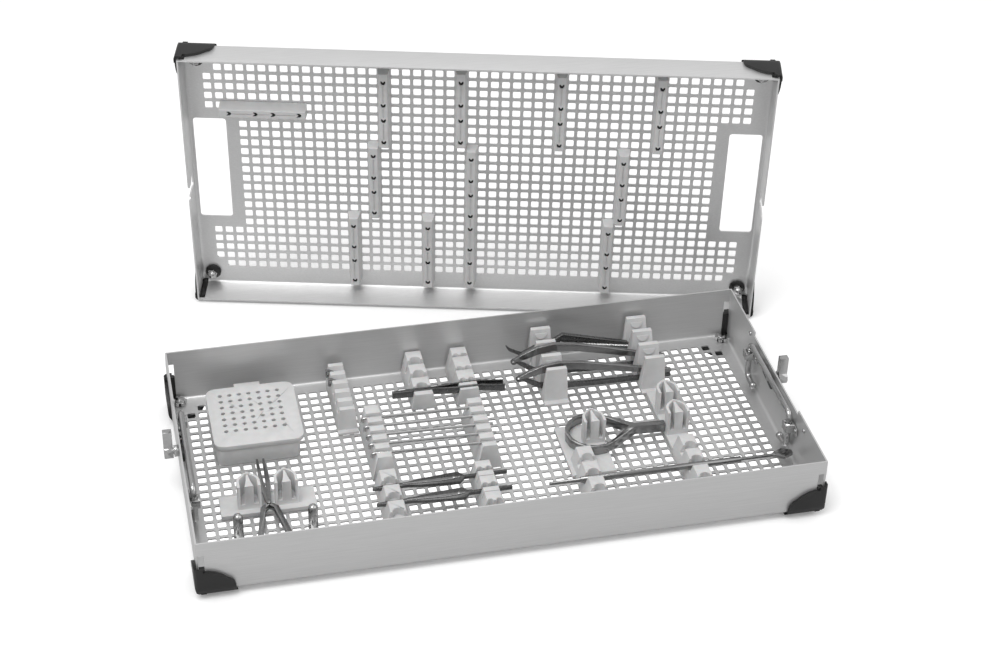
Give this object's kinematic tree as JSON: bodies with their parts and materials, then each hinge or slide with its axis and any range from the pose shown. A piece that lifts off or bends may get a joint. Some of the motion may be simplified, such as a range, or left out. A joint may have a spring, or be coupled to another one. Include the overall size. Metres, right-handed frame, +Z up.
{
  "type": "dental instrument cassette",
  "caption": "Punched steel instrument tray with bail handles, turn latches and black corner guards; silicone rests hold the instruments, and its loose lid stands open behind it.",
  "frame": {"origin": "middle of the whole assembly, tray and standing lid, on the surface they stand on", "axes": "+X along the tray to the right, +Y from the tray to the lid behind it, +Z up"},
  "size_m": [0.5316, 0.412, 0.2514],
  "materials": {
    "steel": "brushed, satin",
    "chrome": "polished stainless steel",
    "guard": "black, fine matt",
    "silicone": "pale grey satin silicone",
    "instrument": "satin instrument steel"
  },
  "bodies": {
    "base": {"base_tray": "steel", "base_guard_front_left": "guard", "base_guard_front_right": "guard", "base_guard_back_left": "guard", "base_guard_back_right": "guard", "bracket_left_front": "chrome", "bracket_left_back": "chrome", "bracket_right_front": "chrome", "bracket_right_back": "chrome", "box_body": "silicone", "clamp_rack": "silicone", "fork_rest_left": "silicone", "fork_rest_right": "silicone", "rod_strip_left": "silicone", "rod_strip_right": "silicone", "notch_rest_right": "silicone", "turret_plate": "silicone", "tall_rest_left": "silicone", "tall_rest_right": "silicone", "pen_strip_left": "silicone", "pen_strip_right": "silicone", "dome_pin_left": "chrome", "dome_pin_right": "chrome"},
    "lid": {"lid_tray": "steel", "lid_guard_front_left": "guard", "lid_guard_front_right": "guard", "lid_guard_back_left": "guard", "lid_guard_back_right": "guard", "lid_strip_top_1": "silicone", "lid_strip_top_2": "silicone", "lid_strip_top_3": "silicone", "lid_strip_top_4": "silicone", "lid_strip_middle_1": "silicone", "lid_strip_middle_2": "silicone", "lid_strip_bottom_1": "silicone", "lid_strip_bottom_2": "silicone", "lid_strip_bottom_3": "silicone", "lid_strip_double": "silicone", "lid_strip_level": "silicone"},
    "box_cover": {"box_lid": "silicone"},
    "bail_left": {"handle_left": "chrome"},
    "turn_latch_left": {"latch_left": "chrome"},
    "bail_right": {"handle_right": "chrome"},
    "turn_latch_right": {"latch_right": "chrome"},
    "clamp_back_body": {"clamp_back": "instrument"},
    "clamp_front_body": {"clamp_front": "instrument"},
    "tweezers_body": {"tweezers": "instrument"},
    "rod_1_body": {"rod_1": "instrument"},
    "rod_2_body": {"rod_2": "instrument"},
    "rod_3_body": {"rod_3": "instrument"},
    "rod_4_body": {"rod_4": "instrument"},
    "rod_5_body": {"rod_5": "instrument"},
    "forceps_1_body": {"forceps_1": "instrument"},
    "forceps_2_body": {"forceps_2": "instrument"},
    "scissors_body": {"scissors": "instrument"},
    "knurled_instrument_body": {"knurled_instrument": "instrument"},
    "spring_holder_back_body": {"spring_holder_back": "instrument"},
    "spring_holder_front_body": {"spring_holder_front": "instrument"},
    "loop_forceps_body": {"loop_forceps": "instrument"},
    "long_instrument_body": {"long_instrument": "instrument"}
  },
  "joints": [
    {"name": "lid_lift", "type": "slide", "parent": "base", "child": "lid", "axis": [0, 0, 1], "range_m": [0, 0.1]},
    {"name": "box_cover_lift", "type": "slide", "parent": "base", "child": "box_cover", "axis": [0, 0, 1], "range_m": [0, 0.02]},
    {"name": "handle_left_rise", "type": "slide", "parent": "base", "child": "bail_left", "axis": [0, 0, 1], "range_m": [0, 0.013]},
    {"name": "latch_left_turn", "type": "hinge", "parent": "base", "child": "turn_latch_left", "pos_m": [-0.2542, -0.07632, 0.039], "axis": [1, 0, 0], "range_deg": [0, 90]},
    {"name": "handle_right_rise", "type": "slide", "parent": "base", "child": "bail_right", "axis": [0, 0, 1], "range_m": [0, 0.013]},
    {"name": "latch_right_turn", "type": "hinge", "parent": "base", "child": "turn_latch_right", "pos_m": [0.2282, -0.07632, 0.039], "axis": [1, 0, 0], "range_deg": [0, 90]},
    {"name": "clamp_back_lift", "type": "slide", "parent": "base", "child": "clamp_back_body", "axis": [0, 0, 1], "range_m": [0, 0.05]},
    {"name": "clamp_front_lift", "type": "slide", "parent": "base", "child": "clamp_front_body", "axis": [0, 0, 1], "range_m": [0, 0.05]},
    {"name": "tweezers_lift", "type": "slide", "parent": "base", "child": "tweezers_body", "axis": [0, 0, 1], "range_m": [0, 0.05]},
    {"name": "rod_1_lift", "type": "slide", "parent": "base", "child": "rod_1_body", "axis": [0, 0, 1], "range_m": [0, 0.05]},
    {"name": "rod_2_lift", "type": "slide", "parent": "base", "child": "rod_2_body", "axis": [0, 0, 1], "range_m": [0, 0.05]},
    {"name": "rod_3_lift", "type": "slide", "parent": "base", "child": "rod_3_body", "axis": [0, 0, 1], "range_m": [0, 0.05]},
    {"name": "rod_4_lift", "type": "slide", "parent": "base", "child": "rod_4_body", "axis": [0, 0, 1], "range_m": [0, 0.05]},
    {"name": "rod_5_lift", "type": "slide", "parent": "base", "child": "rod_5_body", "axis": [0, 0, 1], "range_m": [0, 0.05]},
    {"name": "forceps_1_lift", "type": "slide", "parent": "base", "child": "forceps_1_body", "axis": [0, 0, 1], "range_m": [0, 0.05]},
    {"name": "forceps_2_lift", "type": "slide", "parent": "base", "child": "forceps_2_body", "axis": [0, 0, 1], "range_m": [0, 0.05]},
    {"name": "scissors_lift", "type": "slide", "parent": "base", "child": "scissors_body", "axis": [0, 0, 1], "range_m": [0, 0.05]},
    {"name": "knurled_instrument_lift", "type": "slide", "parent": "base", "child": "knurled_instrument_body", "axis": [0, 0, 1], "range_m": [0, 0.05]},
    {"name": "spring_holder_back_lift", "type": "slide", "parent": "base", "child": "spring_holder_back_body", "axis": [0, 0, 1], "range_m": [0, 0.05]},
    {"name": "spring_holder_front_lift", "type": "slide", "parent": "base", "child": "spring_holder_front_body", "axis": [0, 0, 1], "range_m": [0, 0.05]},
    {"name": "loop_forceps_lift", "type": "slide", "parent": "base", "child": "loop_forceps_body", "axis": [0, 0, 1], "range_m": [0, 0.05]},
    {"name": "long_instrument_lift", "type": "slide", "parent": "base", "child": "long_instrument_body", "axis": [0, 0, 1], "range_m": [0, 0.05]}
  ]
}
